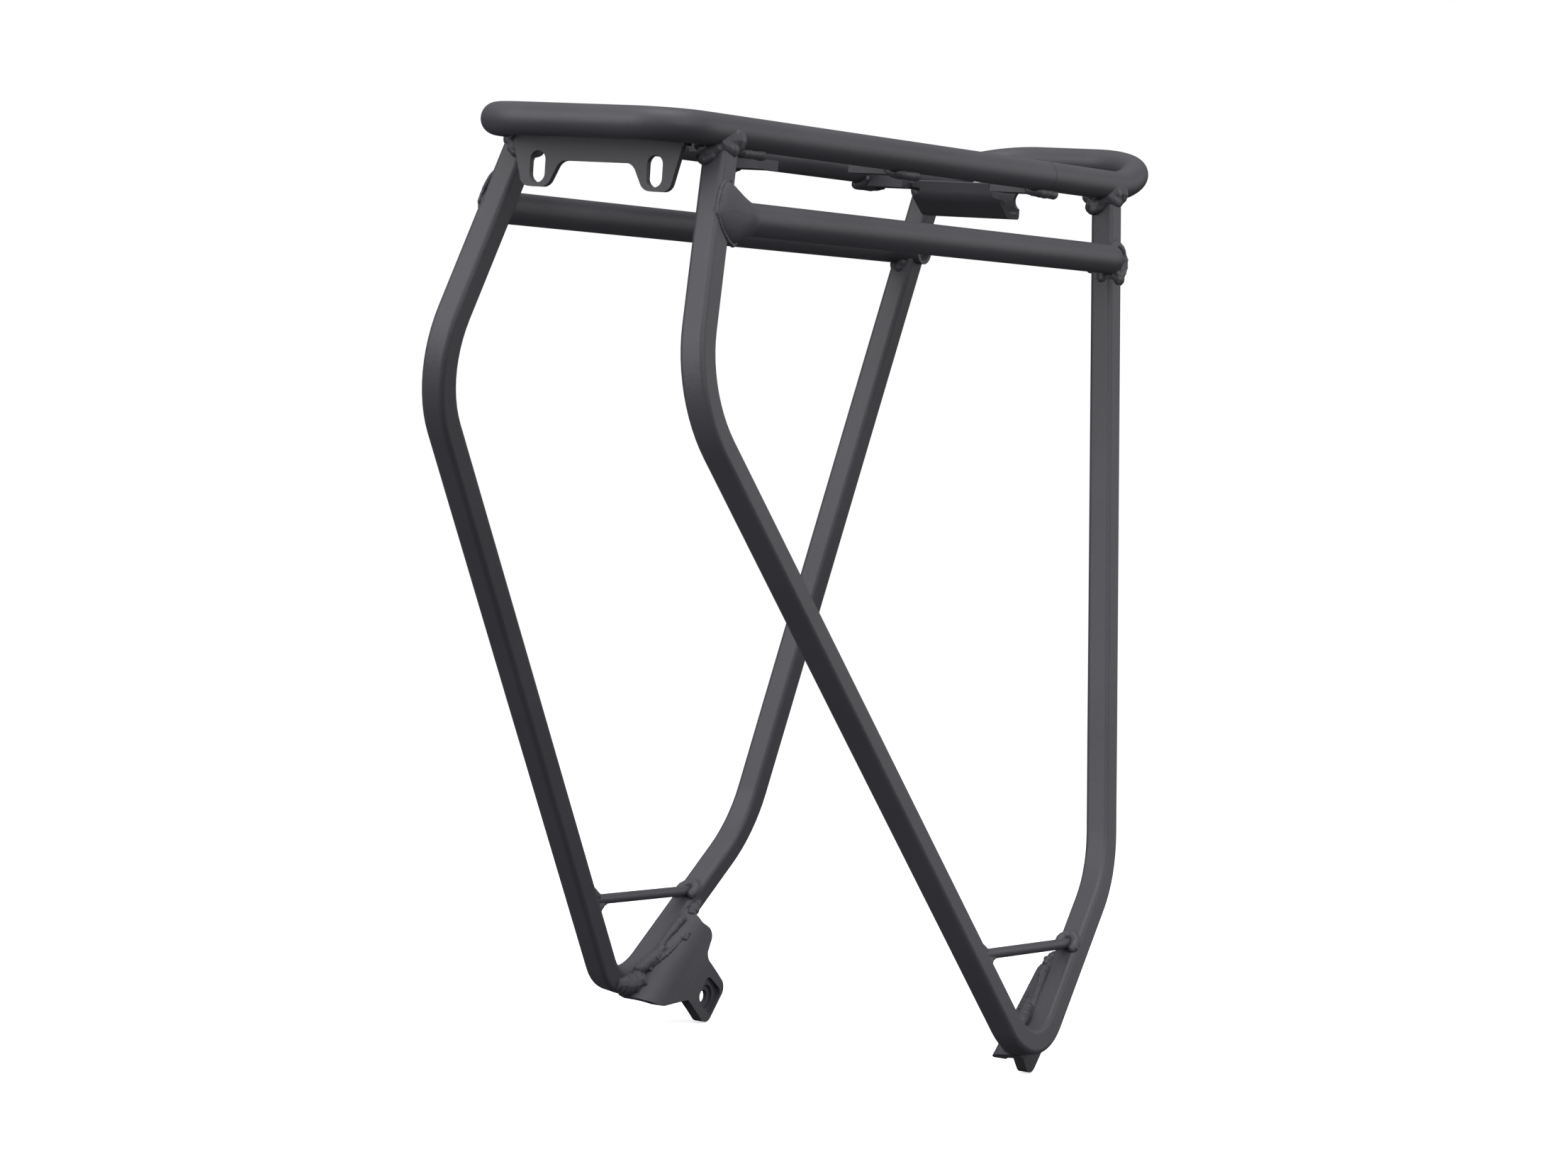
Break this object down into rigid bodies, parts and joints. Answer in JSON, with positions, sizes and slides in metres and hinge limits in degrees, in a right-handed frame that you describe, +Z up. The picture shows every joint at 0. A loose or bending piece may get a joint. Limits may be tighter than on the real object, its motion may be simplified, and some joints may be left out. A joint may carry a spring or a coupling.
{
  "type": "bicycle rear carrier",
  "caption": "Rigid welded tube rear carrier for a bicycle, with a loop deck, lower pannier rails, V-shaped side frames, dropout feet and a rear lamp bracket.",
  "frame": {"origin": "midway between the two dropout eyelets, on the line through both", "axes": "+X towards the front wheel, +Y to the rider's left, +Z up"},
  "size_m": [0.396, 0.1998, 0.3742],
  "materials": {
    "powder_coat": "satin charcoal powder coat, fine orange peel",
    "weld_bead": "satin charcoal powder coat over rippled weld"
  },
  "bodies": {
    "root": {"bridge": "powder_coat", "bridge_welds": "weld_bead", "deck_tab_left_1": "powder_coat", "deck_tab_left_2": "powder_coat", "deck_tab_left_3": "powder_coat", "deck_tab_right_1": "powder_coat", "deck_tab_right_2": "powder_coat", "deck_tab_right_3": "powder_coat", "deck_tab_welds": "weld_bead", "foot_bracket_left": "powder_coat", "foot_bracket_right": "powder_coat", "foot_bracket_welds_left": "weld_bead", "foot_bracket_welds_right": "weld_bead", "foot_strut_left": "powder_coat", "foot_strut_right": "powder_coat", "foot_strut_welds_left": "weld_bead", "foot_strut_welds_right": "weld_bead", "lamp_bracket": "powder_coat", "lamp_bracket_welds": "weld_bead", "leg_top_welds_left": "weld_bead", "leg_top_welds_right": "weld_bead", "loop_front_tube": "powder_coat", "loop_rear_tube": "powder_coat", "loop_seam_welds": "weld_bead", "pannier_rail_left": "powder_coat", "pannier_rail_right": "powder_coat", "pannier_rail_welds_left": "weld_bead", "pannier_rail_welds_right": "weld_bead", "side_frame_left": "powder_coat", "side_frame_right": "powder_coat"}
  },
  "joints": []
}
